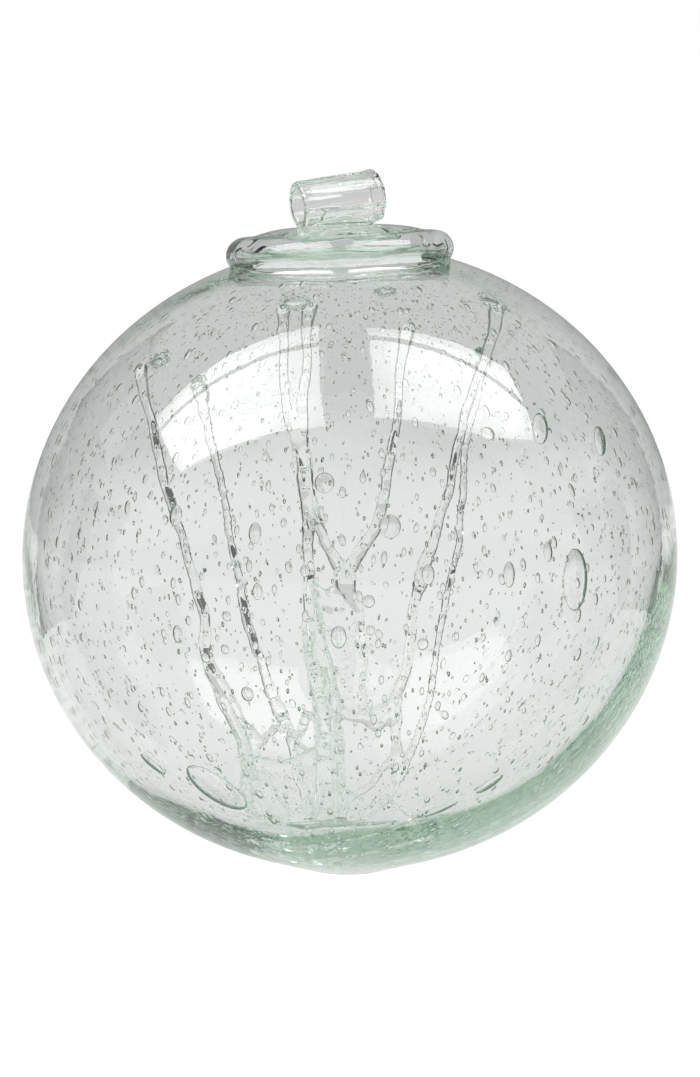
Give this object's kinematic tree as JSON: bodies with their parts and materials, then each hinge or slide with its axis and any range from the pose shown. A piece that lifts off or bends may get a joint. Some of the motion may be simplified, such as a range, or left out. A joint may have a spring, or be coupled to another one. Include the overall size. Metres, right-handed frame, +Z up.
{
  "type": "witch ball",
  "caption": "Hand-blown clear glass ball, sealed by a thick glass cap with a curled hanging loop on top, resting on a small flat spot.",
  "frame": {"origin": "middle of the small flat spot under the ball", "axes": "+Z up through the cap and the loop, X along the eye of the loop, with the cap's low side at -X, Y across the eye"},
  "size_m": [0.1524, 0.1524, 0.1637],
  "materials": {
    "seeded_glass": "clear blown glass with a pale green tint and many seed bubbles",
    "cap_glass": "thick clear glass, greener where it is deep, fire-polished",
    "loop_glass": "clear drawn glass with tool lines along the band"
  },
  "bodies": {
    "root": {"glass_ball": "seeded_glass", "cap": "cap_glass", "hanging_loop": "loop_glass"}
  },
  "joints": []
}
